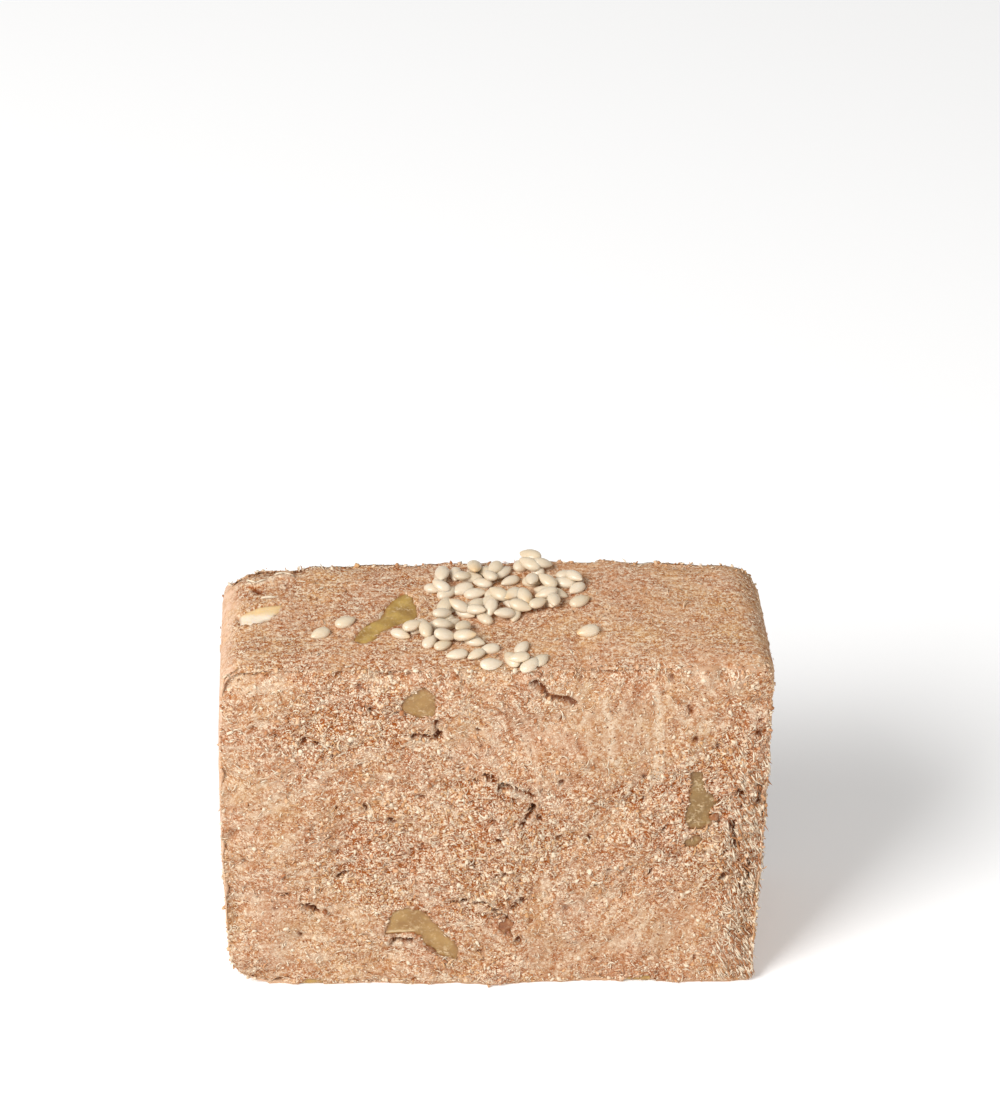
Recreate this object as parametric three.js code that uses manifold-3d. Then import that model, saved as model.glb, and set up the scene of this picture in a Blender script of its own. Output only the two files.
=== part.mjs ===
// A block of sesame halva with chopped walnuts in it: one slice cut from a moulded loaf, standing on
// the loaf's flat base, with hulled sesame seeds sprinkled over the middle of its top.
//
// The loaf was moulded along Y, so the top, base and ends are pressed smooth with rounded corners,
// and the front and back are knife cuts, where the halva is crumbly and the nuts are sliced flat.
// Millimetres, +Z up, origin at the middle of the base, front cut facing -Y.
import * as THREE from "three";
import { mergeVertices } from "three/addons/utils/BufferGeometryUtils.js";
import Module from "manifold-3d";

const wasm = await Module();
wasm.setup();
const { clamp, mapLinear, smoothstep } = THREE.MathUtils;

// ---- driving dimensions ----
const WIDTH = 76; // across the loaf, along X
const DEPTH = 25.2; // front cut to back cut, along Y
const HEIGHT = 58; // base to top, along Z
const GRID = 2.5; // spacing of the points on the halva's surface
const BULGE = { left: 0.8, right: 0.6 }; // how far the ends stand out at half the height
const RIM_WEAR = 0.35; // how far the rims of the two cuts are worn back
const FOOT = 6; // wear and missing bits fade out over this height above the base
const GAP = 0.35; // between a nut and the halva round it
const NUT_SINK = 0.2; // how far a nut's cut face lies below the halva's
const NUT_BEVEL = 0.7; // how far a nut narrows towards its hidden end
const WELD = 1e-4; // points nearer than this are one point

// Radius of each long corner of the loaf at the front cut and at the back cut. side is -1 at the
// left, and rise is 1 at the top.
const CORNERS = [
  { side: -1, rise: 1, front: 3.4, back: 6.0 },
  { side: 1, rise: 1, front: 2.0, back: 5.5 },
  { side: -1, rise: -1, front: 6.4, back: 4.5 },
  { side: 1, rise: -1, front: 1.6, back: 2.5 },
];

// Relief: cell is the size of one lump, and height how far it stands out or in.
const LUMPS = { cell: 15, height: 0.75, onSides: 0.5 }; // slow waves, less on the moulded faces
const CRAGS = { cell: 5.2, height: 0.7 }; // torn halva, on the two cuts
const NIBBLES = { cell: 2.6, height: 1.5, onSides: 0.4, reach: 3.4 }; // missing bits of the rims
const CALM = 3; // the relief fades out over this distance round a nut

// The stretch of the back rim, at the left of the top, where the halva has crumbled away.
const CRUMBLED = { from: [-36.5, 12.6, 57.0], to: [-28.6, 12.6, 58.0], reach: 3.6, depth: 1.5 };

// Grooves and holes where crumbs have come away from the front cut: the line of each one, its
// width and its depth.
const GROOVES = [
  { from: [-8.4, 48.6], to: [-8.0, 45.6], width: 1.3, depth: 1.6 },
  { from: [5.0, 55.6], to: [6.9, 53.3], width: 1.5, depth: 1.1 },
  { from: [6.9, 53.3], to: [10.6, 52.2], width: 1.6, depth: 0.9 },
  { from: [0.9, 37.2], to: [5.2, 35.3], width: 1.4, depth: 1.8 },
  { from: [5.4, 33.6], to: [4.0, 30.2], width: 1.1, depth: 1.4 },
  { from: [-5.4, 15.8], to: [-0.9, 15.6], width: 1.1, depth: 1.6 },
  { from: [-14.3, 8.2], to: [-12.0, 8.4], width: 1.5, depth: 1.7 },
  { from: [-26.9, 14.9], to: [-25.6, 13.8], width: 1.5, depth: 1.3 },
  { from: [33.5, 28.8], to: [33.6, 25.4], width: 1.5, depth: 1.8 },
  { from: [25.0, 24.2], to: [26.0, 23.4], width: 1.3, depth: 1.5 },
];

// Each face of the slice: a point on it, the ways called right and up by someone facing it, and
// the way out of it.
const FACES = {
  front: { at: [0, -DEPTH / 2, 0], right: [1, 0, 0], up: [0, 0, 1], out: [0, -1, 0] },
  back: { at: [0, DEPTH / 2, 0], right: [-1, 0, 0], up: [0, 0, 1], out: [0, 1, 0] },
  left: { at: [-WIDTH / 2, 0, 0], right: [0, -1, 0], up: [0, 0, 1], out: [-1, 0, 0] },
  right: { at: [WIDTH / 2, 0, 0], right: [0, 1, 0], up: [0, 0, 1], out: [1, 0, 0] },
  top: { at: [0, 0, HEIGHT], right: [1, 0, 0], up: [0, 1, 0], out: [0, 0, 1] },
  base: { at: [0, 0, 0], right: [1, 0, 0], up: [0, -1, 0], out: [0, 0, -1] },
};

// Chopped walnut. Each piece has a place on its face and an outline round that place, both measured
// right and up, and the depth that it reaches into the halva.
const WALNUTS = [
  { name: "walnut_front_upper", face: "front", at: [-10.8, 51.9], depth: 3.4, outline: [
    [-2.6, -0.6], [-2.2, 0.9], [-1.2, 1.9], [0.2, 2.7], [1.3, 2.6], [2.4, 1.2], [2.6, -1.5],
    [2.0, -2.5], [-0.1, -2.7], [-2.2, -1.5],
  ] },
  { name: "walnut_front_right", face: "front", at: [28.9, 34.0], depth: 4.2, outline: [
    [-1.7, 5.3], [-0.9, 5.7], [-0.1, 5.6], [0.5, 4.2], [0.9, 2.0], [2.8, 0.2], [1.6, -2.1],
    [2.2, -4.4], [0.0, -5.4], [-1.8, -5.0], [-2.1, -2.6], [-1.8, 0.6],
  ] },
  { name: "walnut_front_right_chip", face: "front", at: [28.1, 26.6], depth: 2.2, outline: [
    [-1.6, 0.1], [-0.6, 0.8], [0.6, 1.3], [1.6, 0.9], [1.2, -0.4], [0.5, -1.0], [-0.8, -1.1],
  ] },
  { name: "walnut_front_lower", face: "front", at: [-10.2, 9.8], depth: 4.0, outline: [
    [-4.5, 4.2], [-2.4, 5.0], [-0.1, 4.6], [2.0, 1.9], [4.9, -1.8], [5.6, -3.5], [5.2, -5.5],
    [2.5, -4.5], [0.6, -3.0], [-0.4, -0.7], [-1.7, -0.2], [-4.6, -0.9], [-5.4, -0.2], [-4.8, 2.6],
  ] },
  { name: "walnut_front_small", face: "front", at: [2.0, 10.9], depth: 2.4, outline: [
    [-1.1, 1.0], [0.2, 1.4], [1.3, 0.4], [0.7, -1.0], [0.3, -1.9], [-1.2, -0.6],
  ] },
  { name: "walnut_top_middle", face: "top", at: [-14.8, -0.8], depth: 3.2, outline: [
    [3.4, 5.2], [2.4, 6.0], [1.5, 5.5], [0.3, 4.3], [-0.8, 2.1], [-1.3, 0.3], [-2.9, -0.8],
    [-4.3, -2.8], [-5.2, -5.0], [-3.8, -5.9], [-2.2, -5.4], [-0.9, -3.2], [0.4, -2.2], [2.2, -1.2],
    [3.6, -0.8], [4.1, 0.9], [3.9, 3.4],
  ] },
  { name: "walnut_top_left", face: "top", at: [-32.6, 0.4], depth: 2.4, outline: [
    [-3.1, 0.3], [-2.1, 1.0], [-0.3, 1.9], [1.9, 2.3], [3.3, 2.4], [2.7, 0.6], [1.5, -1.3],
    [-0.3, -2.4], [-1.6, -2.5], [-3.0, -2.3],
  ] },
  { name: "walnut_base_left", face: "base", at: [-26.0, 10.8], depth: 1.1, outline: [
    [-2.0, 2.6], [-1.7, -0.6], [-0.4, -1.7], [1.1, -1.2], [1.9, 0.0], [1.7, 2.6],
  ] },
  { name: "walnut_base_right", face: "base", at: [21.4, 10.6], depth: 1.0, outline: [
    [-2.6, 2.8], [-2.2, -0.2], [-0.8, -1.4], [1.0, -1.8], [2.3, -0.7], [2.5, 2.8],
  ] },
  { name: "walnut_back_branch", face: "back", at: [26.5, 45.0], depth: 4.4, outline: [
    [0.2, 7.2], [3.6, 6.6], [4.6, 4.2], [2.4, 1.6], [1.6, -1.8], [-0.4, -4.2], [-4.4, -4.6],
    [-6.2, -3.0], [-3.6, -0.8], [-1.6, 1.6], [-0.9, 4.6],
  ] },
  { name: "walnut_back_bean", face: "back", at: [16.9, 41.6], depth: 3.2, outline: [
    [-0.6, 3.2], [1.2, 3.4], [2.0, 1.0], [1.3, -1.4], [1.6, -3.4], [-0.4, -3.9], [-1.5, -1.6],
    [-1.2, 0.8],
  ] },
  { name: "walnut_back_pair_upper", face: "back", at: [-5.4, 22.6], depth: 3.0, outline: [
    [-2.4, 0.6], [-1.2, 1.9], [1.3, 2.0], [2.5, 0.7], [2.3, -1.3], [0.4, -1.7], [-1.6, -1.4],
  ] },
  { name: "walnut_back_pair_lower", face: "back", at: [-9.9, 19.0], depth: 2.6, outline: [
    [-1.5, 1.9], [0.4, 2.6], [1.6, 1.2], [1.4, -1.2], [0.2, -2.6], [-1.4, -1.6], [-1.9, 0.2],
  ] },
  { name: "walnut_back_wedge", face: "back", at: [-27.5, 12.5], depth: 3.0, outline: [
    [-2.8, -0.9], [-0.9, 1.2], [0.6, 2.9], [2.4, 2.0], [1.9, -0.6], [0.3, -1.9], [-1.7, -2.1],
  ] },
  { name: "walnut_left_side", face: "left", at: [2.5, 37.0], depth: 2.6, outline: [
    [-1.6, 3.3], [0.4, 3.9], [1.9, 1.4], [1.6, -1.2], [2.3, -3.2], [0.2, -3.6], [-1.3, -1.4],
  ] },
  { name: "walnut_right_side", face: "right", at: [-3.0, 19.5], depth: 2.6, outline: [
    [-2.9, 1.6], [-1.0, 2.6], [1.4, 0.9], [2.9, -0.9], [2.0, -2.3], [-0.2, -1.6], [-2.2, -0.6],
  ] },
];

// Hulled sesame seeds: the size of one, and the patches that they were sprinkled in.
const SEED = { length: 3.1, width: 1.9, thickness: 1.3, sides: 5 };
const SEED_PROFILE = [[0, -0.5], [0.3, -0.28], [0.5, 0.08], [0.38, 0.38], [0, 0.5]];
const SEED_SINK = 0.3; // how far a seed is pressed into what it lies on
const SEED_CLEARANCE = 1.75; // least distance between the middles of two seeds in one layer
const SEED_LAYERS = 2;
const SEED_RISE = 0.9; // from one layer of seeds to the next
const SPRINKLE_START = 20417; // the same sprinkle every time
const SPRINKLE_TRIES = 500; // for each patch, so that a full patch ends it
const PATCHES = [
  { at: [1.4, 4.4], reach: [12.2, 6.0], seeds: 50 },
  { at: [5.0, 10.6], reach: [2.4, 1.4], seeds: 3 },
  { at: [-5.2, -3.6], reach: [5.6, 4.6], seeds: 15 },
  { at: [0.4, -10.2], reach: [7.6, 2.2], seeds: 9 },
  { at: [-12.6, -4.8], reach: [1.4, 0.9], seeds: 2 },
  { at: [-20.8, -2.0], reach: [0.3, 0.3], seeds: 1 },
  { at: [-24.2, -4.4], reach: [0.3, 0.3], seeds: 1 },
  { at: [12.3, -4.5], reach: [0.6, 0.6], seeds: 1 },
];

const HALVA_FINISH = { color: 0xd1a885, roughness: 0.85, metalness: 0 };
const WALNUT_FINISH = { color: 0xc8a372, roughness: 0.45, metalness: 0 };

// ---- repeatable noise ----

// A random number from 0 to 1 for each point of a whole-number lattice.
function latticeRandom(i, j, k) {
  let h = Math.imul(i, 374761393) ^ Math.imul(j, 668265263) ^ Math.imul(k, 1274126177);
  h = Math.imul(h ^ (h >>> 13), 1103515245);
  return ((h ^ (h >>> 16)) >>> 0) / 4294967295;
}

// Smooth noise from -1 to 1 that changes over about one cell.
function noise(p, cell) {
  const q = [p.x / cell, p.y / cell, p.z / cell];
  const low = q.map(Math.floor);
  const ease = q.map((v, n) => (v - low[n]) ** 2 * (3 - 2 * (v - low[n])));
  let sum = 0;
  for (let corner = 0; corner < 8; corner += 1) {
    const step = [corner & 1, (corner >> 1) & 1, corner >> 2];
    const share = step.reduce((s, on, n) => s * (on ? ease[n] : 1 - ease[n]), 1);
    sum += share * latticeRandom(low[0] + step[0], low[1] + step[1], low[2] + step[2]);
  }
  return 2 * sum - 1;
}

// A run of random numbers from 0 to 1, the same for the same start.
function randomRun(start) {
  let state = start;
  return () => {
    state = (state + 0x6d2b79f5) | 0;
    let t = Math.imul(state ^ (state >>> 15), 1 | state);
    t = (t + Math.imul(t ^ (t >>> 7), 61 | t)) ^ t;
    return ((t ^ (t >>> 14)) >>> 0) / 4294967296;
  };
}

// ---- solids and outlines ----

function solidOf(geometry) {
  const bare = geometry.clone();
  bare.deleteAttribute("normal");
  bare.deleteAttribute("uv");
  const merged = mergeVertices(bare, WELD);
  return new wasm.Manifold(
    new wasm.Mesh({
      numProp: 3,
      vertProperties: merged.attributes.position.array,
      triVerts: new Uint32Array(merged.index.array),
    }),
  );
}

function geometryOf(solid) {
  const mesh = solid.getMesh();
  return new THREE.BufferGeometry()
    .setAttribute("position", new THREE.BufferAttribute(new Float32Array(mesh.vertProperties), 3))
    .setIndex(new THREE.BufferAttribute(new Uint32Array(mesh.triVerts), 1))
    .toNonIndexed();
}

// Cutting can leave a loose crumb: only the largest body is kept.
function largestBody(solid) {
  return solid.decompose().sort((a, b) => b.volume() - a.volume())[0];
}

// Carries right, up and out on a face to the slice's own frame.
function faceMatrix({ at, right, up, out }) {
  const [x, y, z] = [right, up, out].map((v) => new THREE.Vector3(...v));
  return new THREE.Matrix4().makeBasis(x, y, z).setPosition(...at);
}

// How far the point x, y lies outside an outline, or less than 0 inside it.
function distanceOutside(x, y, outline) {
  let nearest = Infinity;
  let inside = false;
  outline.forEach(([ax, ay], n) => {
    const [bx, by] = outline[(n + 1) % outline.length];
    const [ex, ey] = [bx - ax, by - ay];
    const share = clamp(((x - ax) * ex + (y - ay) * ey) / (ex * ex + ey * ey), 0, 1);
    nearest = Math.min(nearest, Math.hypot(x - ax - share * ex, y - ay - share * ey));
    if (ay > y !== by > y && x < ax + ((y - ay) / ey) * ex) inside = !inside;
  });
  return inside ? -nearest : nearest;
}

// ---- halva ----

// Rounds the loaf's four long corners, squeezing the square corner of the grid into the round.
function roundCorners(p) {
  for (const { side, rise, front, back } of CORNERS) {
    const radius = mapLinear(p.y, -DEPTH / 2, DEPTH / 2, front, back);
    const middleX = side * (WIDTH / 2 - radius);
    const middleZ = rise > 0 ? HEIGHT - radius : radius;
    const across = (p.x - middleX) * side;
    const along = (p.z - middleZ) * rise;
    if (across > 0 && along > 0) {
      const squeeze = Math.max(across, along) / Math.hypot(across, along);
      p.x = middleX + side * across * squeeze;
      p.z = middleZ + rise * along * squeeze;
    }
  }
}

// Swells the two ends, most at half the height.
function bulgeEnds(p) {
  const swell = Math.sin((Math.PI * p.z) / HEIGHT);
  const share = (2 * p.x) / WIDTH;
  p.x += share * swell * (share < 0 ? BULGE.left : BULGE.right);
}

// How far a point is from the nearest rim of a cut, measured over the surface.
function rimDistance(p) {
  const toCut = DEPTH / 2 - Math.abs(p.y);
  const toSide = Math.min(WIDTH / 2 - Math.abs(p.x), HEIGHT - p.z, p.z);
  return Math.max(0, toCut, toSide);
}

// 0 beside a nut, rising to 1 away from the nuts.
function calm(p) {
  const away = WALNUTS.map(({ face, at, outline }) => {
    const { x, y, z } = p.clone().applyMatrix4(faceMatrix(FACES[face]).invert());
    return Math.hypot(Math.max(0, distanceOutside(x - at[0], y - at[1], outline)), z);
  });
  return smoothstep(Math.min(...away), 0, CALM);
}

// How far the crumbled stretch of the back rim lies below the whole one.
function crumbled(p) {
  const [from, to] = [CRUMBLED.from, CRUMBLED.to].map((end) => new THREE.Vector3(...end));
  const nearest = new THREE.Line3(from, to).closestPointToPoint(p, true, new THREE.Vector3());
  return CRUMBLED.depth * Math.max(0, 1 - nearest.distanceTo(p) / CRUMBLED.reach);
}

// Small at the base, rising to 1 above the foot of the slice.
function footing(p) {
  return mapLinear(smoothstep(p.z, 0, FOOT), 0, 1, 0.25, 1);
}

// How far the surface stands out from the plain rounded slice. cut is 1 on a cut face, 0 elsewhere.
function relief(p, cut) {
  const ragged = Math.max(0, 1 - rimDistance(p) / NIBBLES.reach);
  const nibble = NIBBLES.height * ragged * Math.min(0, noise(p, NIBBLES.cell)) * footing(p);
  const lump = LUMPS.height * noise(p, LUMPS.cell);
  const crag = CRAGS.height * noise(p, CRAGS.cell) * cut;
  const share = (onSides) => onSides + (1 - onSides) * cut;
  const waves = lump * share(LUMPS.onSides) + crag + nibble * share(NIBBLES.onSides);
  return waves * calm(p) - crumbled(p);
}

// The rounded slice, with each of its points moved out along the surface by push(point, normal,
// onRim).
function sliceSolid(push) {
  const steps = [WIDTH, DEPTH, HEIGHT].map((size) => Math.round(size / GRID));
  const box = new THREE.BoxGeometry(WIDTH, DEPTH, HEIGHT, ...steps).translate(0, 0, HEIGHT / 2);
  box.deleteAttribute("normal");
  box.deleteAttribute("uv");
  const shape = mergeVertices(box, WELD);
  const points = shape.attributes.position;
  const p = new THREE.Vector3();
  const onRim = [];
  for (let n = 0; n < points.count; n += 1) {
    p.fromBufferAttribute(points, n);
    const toSide = Math.min(WIDTH / 2 - Math.abs(p.x), HEIGHT - p.z, p.z);
    onRim.push(Math.max(DEPTH / 2 - Math.abs(p.y), toSide) < WELD);
    roundCorners(p);
    bulgeEnds(p);
    points.setXYZ(n, p.x, p.y, p.z);
  }
  shape.computeVertexNormals();
  const out = new THREE.Vector3();
  for (let n = 0; n < points.count; n += 1) {
    p.fromBufferAttribute(points, n);
    out.fromBufferAttribute(shape.attributes.normal, n);
    p.addScaledVector(out, push(p, out, onRim[n]));
    points.setXYZ(n, p.x, p.y, p.z);
  }
  shape.deleteAttribute("normal");
  return solidOf(shape);
}

// The halva with its relief. Its base stays flat, and nothing hangs below it.
function halvaBody() {
  const below = new THREE.BoxGeometry(2 * WIDTH, 2 * DEPTH, HEIGHT).translate(0, 0, -HEIGHT / 2);
  const slice = sliceSolid((p, out, onRim) => {
    const flatBase = out.z < -0.99;
    return flatBase ? 0 : relief(p, out.y * out.y) - (onRim ? RIM_WEAR * footing(p) : 0);
  });
  return slice.subtract(solidOf(below));
}

// A long hollow along a groove's line.
function grooveHollow({ from, to, width, depth }) {
  const run = new THREE.Vector2(to[0] - from[0], to[1] - from[1]);
  const hollow = new THREE.SphereGeometry(1, 6, 4)
    .scale((run.length() + width) / 2, width / 2, depth)
    .rotateZ(run.angle())
    .translate((from[0] + to[0]) / 2, (from[1] + to[1]) / 2, 0)
    .applyMatrix4(faceMatrix(FACES.front));
  return solidOf(hollow);
}

// ---- walnuts ----

// A piece before it is cut, larger by grow all round, and standing out through its face.
function nutLump({ outline, depth }, grow) {
  const shape = new THREE.Shape(outline.map(([right, up]) => new THREE.Vector2(right, up)));
  const straight = depth - NUT_BEVEL;
  return new THREE.ExtrudeGeometry(shape, {
    depth: straight + depth,
    bevelThickness: NUT_BEVEL + grow,
    bevelSize: NUT_BEVEL,
    bevelOffset: grow - NUT_BEVEL,
    bevelSegments: 1,
  }).translate(0, 0, -straight);
}

// ---- seeds ----

// One seed lying along X: a flat teardrop with its round end at +X.
function seedGeometry() {
  const profile = SEED_PROFILE.map(
    ([radius, along]) => new THREE.Vector2(radius * SEED.width, along * SEED.length),
  );
  return new THREE.LatheGeometry(profile, SEED.sides)
    .rotateZ(-Math.PI / 2)
    .scale(1, 1, SEED.thickness / SEED.width);
}

// True where the ends or middle of a seed in the lowest layer would come too near a nut in the top.
function touchesNut({ x, y, turn, layer }) {
  if (layer > 0) return false;
  const clearance = SEED.width / 2 + GAP;
  const onTop = WALNUTS.filter(({ face }) => face === "top");
  return [-0.4, 0, 0.4].some((share) => {
    const spineX = x + share * SEED.length * Math.cos(turn);
    const spineY = y + share * SEED.length * Math.sin(turn);
    return onTop.some(
      ({ at, outline }) =>
        distanceOutside(spineX - at[0], spineY - at[1], outline) < clearance * (1 - share * share),
    );
  });
}

// Where each seed lies: its place on the top, its layer, its turn and tilts, and its size.
function sprinkle() {
  const random = randomRun(SPRINKLE_START);
  const placed = [];
  const lowestFreeLayer = ({ x, y }) => {
    let layer = 0;
    const crowded = (s) => s.layer === layer && Math.hypot(s.x - x, s.y - y) < SEED_CLEARANCE;
    while (placed.some(crowded)) layer += 1;
    return layer;
  };
  for (const { at, reach, seeds } of PATCHES) {
    let left = seeds;
    for (let tries = 0; tries < SPRINKLE_TRIES && left > 0; tries += 1) {
      const away = Math.sqrt(random());
      const bearing = 2 * Math.PI * random();
      const seed = {
        x: at[0] + reach[0] * away * Math.cos(bearing),
        y: at[1] + reach[1] * away * Math.sin(bearing),
        turn: 2 * Math.PI * random(),
        lean: random() - 0.5,
        roll: random() - 0.5,
        size: 0.9 + 0.22 * random(),
      };
      seed.layer = lowestFreeLayer(seed);
      if (seed.layer < SEED_LAYERS && !touchesNut(seed)) {
        placed.push(seed);
        left -= 1;
      }
    }
  }
  return placed;
}

function seedSolids() {
  const shape = seedGeometry();
  return sprinkle().map(({ x, y, layer, turn, lean, roll, size }) => {
    const ground = HEIGHT + relief(new THREE.Vector3(x, y, HEIGHT), 0);
    const z = ground + SEED.thickness / 2 - SEED_SINK + layer * SEED_RISE;
    return solidOf(
      shape
        .clone()
        .scale(size, size, size)
        .rotateX(0.5 * roll)
        .rotateY((0.25 + 0.5 * layer) * lean)
        .rotateZ(turn)
        .translate(x, y, z),
    );
  });
}

// ---- the block ----

const block = new THREE.Group();
const pockets = [];
const cutSlice = sliceSolid(() => -NUT_SINK);

for (const [faceName, face] of Object.entries(FACES)) {
  const group = new THREE.Group();
  faceMatrix(face).decompose(group.position, group.quaternion, group.scale);
  block.add(group);
  for (const nut of WALNUTS.filter((piece) => piece.face === faceName)) {
    const walnut = new THREE.Mesh(undefined, new THREE.MeshStandardMaterial(WALNUT_FINISH));
    walnut.name = nut.name;
    walnut.position.set(nut.at[0], nut.at[1], 0);
    group.add(walnut);
    walnut.updateWorldMatrix(true, false);
    const cut = solidOf(nutLump(nut, 0).applyMatrix4(walnut.matrixWorld)).intersect(cutSlice);
    walnut.geometry = geometryOf(cut).applyMatrix4(walnut.matrixWorld.clone().invert());
    pockets.push(solidOf(nutLump(nut, GAP).applyMatrix4(walnut.matrixWorld)));
  }
}

const hollows = wasm.Manifold.union([...pockets, ...GROOVES.map(grooveHollow)]);
const seeded = wasm.Manifold.union([halvaBody().subtract(hollows), ...seedSolids()]);
const halva = new THREE.Mesh(
  geometryOf(largestBody(seeded)),
  new THREE.MeshStandardMaterial(HALVA_FINISH),
);
halva.name = "halva";
block.add(halva);

export default block;
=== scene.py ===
import math

import bmesh
import bpy
import numpy as np
from mathutils import Matrix, Vector
from mathutils.bvhtree import BVHTree


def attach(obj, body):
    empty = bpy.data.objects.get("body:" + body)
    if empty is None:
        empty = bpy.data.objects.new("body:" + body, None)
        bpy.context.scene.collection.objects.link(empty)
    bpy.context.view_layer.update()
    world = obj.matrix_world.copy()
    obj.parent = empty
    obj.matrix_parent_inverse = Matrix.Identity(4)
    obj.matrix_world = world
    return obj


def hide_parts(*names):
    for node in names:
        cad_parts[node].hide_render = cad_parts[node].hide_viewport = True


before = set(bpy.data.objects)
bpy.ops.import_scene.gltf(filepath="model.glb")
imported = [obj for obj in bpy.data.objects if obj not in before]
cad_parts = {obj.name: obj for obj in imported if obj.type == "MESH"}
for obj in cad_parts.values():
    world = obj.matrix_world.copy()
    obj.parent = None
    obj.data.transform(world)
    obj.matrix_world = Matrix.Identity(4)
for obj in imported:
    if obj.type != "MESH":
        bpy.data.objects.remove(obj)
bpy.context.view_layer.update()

# A slice of sesame halva with chopped walnuts in it and hulled sesame seeds on its top. Shapes are
# worked out in millimetres and stored in metres. +Z is up and the front cut faces -Y.
MM = 0.001

# ---- sizes that the solids have too ----
WIDTH = 76.0
DEPTH = 25.2
HEIGHT = 58.0
GRID = 2.5  # spacing of the points on the solid's surface
BULGE_LEFT = 0.8
BULGE_RIGHT = 0.6
RIM_WEAR = 0.35
FOOT = 6.0
NUT_GAP = 0.35
NUT_SINK = 0.2

OUTWARDS = {
    "front": Vector((0, -1, 0)),
    "back": Vector((0, 1, 0)),
    "left": Vector((-1, 0, 0)),
    "right": Vector((1, 0, 0)),
    "top": Vector((0, 0, 1)),
    "base": Vector((0, 0, -1)),
}

# The loaf's long corners: side, rise, radius at the front cut and radius at the back cut.
CORNERS = [(-1, 1, 3.4, 6.0), (1, 1, 2.0, 5.5), (-1, -1, 6.4, 4.5), (1, -1, 1.6, 2.5)]

LUMP_CELL, LUMP_HEIGHT, LUMP_ON_SIDES = 15.0, 0.75, 0.5
CRAG_CELL, CRAG_HEIGHT = 5.2, 0.7
NIBBLE_CELL, NIBBLE_HEIGHT, NIBBLE_ON_SIDES, NIBBLE_REACH = 2.6, 1.5, 0.4, 3.4
CALM = 3.0

# Where the top's back rim has crumbled away: the stretch's two ends, its reach and its depth.
CRUMBLED = ((-36.5, 12.6, 57.0), (-28.6, 12.6, 58.0), 3.6, 1.5)

SEED_LENGTH, SEED_WIDTH, SEED_THICKNESS = 3.1, 1.9, 1.3
SEED_SINK = 0.3
SEED_CLEARANCE = 1.75
SEED_LAYERS = 2
SEED_RISE = 0.9
SPRINKLE_START = 20417
SPRINKLE_TRIES = 500
SEED_LOOKS_START = 88
SEED_ROUND_END, SEED_TIP, SEED_FLATTENING = 0.15, 0.25, 0.10

# Patches of seeds: middle, reach along X and Y, and how many seeds.
PATCHES = [
    ((1.4, 4.4), (12.2, 6.0), 50),
    ((5.0, 10.6), (2.4, 1.4), 3),
    ((-5.2, -3.6), (5.6, 4.6), 15),
    ((0.4, -10.2), (7.6, 2.2), 9),
    ((-12.6, -4.8), (1.4, 0.9), 2),
    ((-20.8, -2.0), (0.3, 0.3), 1),
    ((-24.2, -4.4), (0.3, 0.3), 1),
    ((12.3, -4.5), (0.6, 0.6), 1),
]

# ---- finer sizes, for the looks alone ----
STEP = 0.4  # spacing of the points on the halva
JITTER = 0.11  # how far a point is moved off its grid
POCKET = 0.9  # how deep the halva is hollowed under a nut's cut face
LAP = (0.05, 0.40)  # how far the halva laps over a nut's edge, least and most
CLOD_CELL, CLOD_HEIGHT = 1.7, 0.34
CRUMB_CELL, CRUMB_HEIGHT = 2.1, 0.17
MORSEL_CELL, MORSEL_HEIGHT = 1.15, 0.16
STREAK_HEIGHT = 0.07
CHIP_CELL, CHIP_REACH, CHIP_HEIGHT = 1.3, 1.8, 0.6
LARGE_PITS = (2.6, (0.3, 0.7), 11)  # the cell that has at most one, their radii, and their draw
SMALL_PITS = (1.5, (0.25, 0.5), 23)
SWAY_CELL, SWAY = 1.25, 0.24  # the sideways shift of the rough cuts
SWIRL_TURN, SWIRL_SWEEP, SWIRL_DRIFT = 15, 115, 35  # degrees
NUT_PROBE = 0.5  # how high over the halva the search for a nut below it starts
CAVITY_ROUNDS = 6  # how far the shade in the halva's hollows spreads

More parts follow.
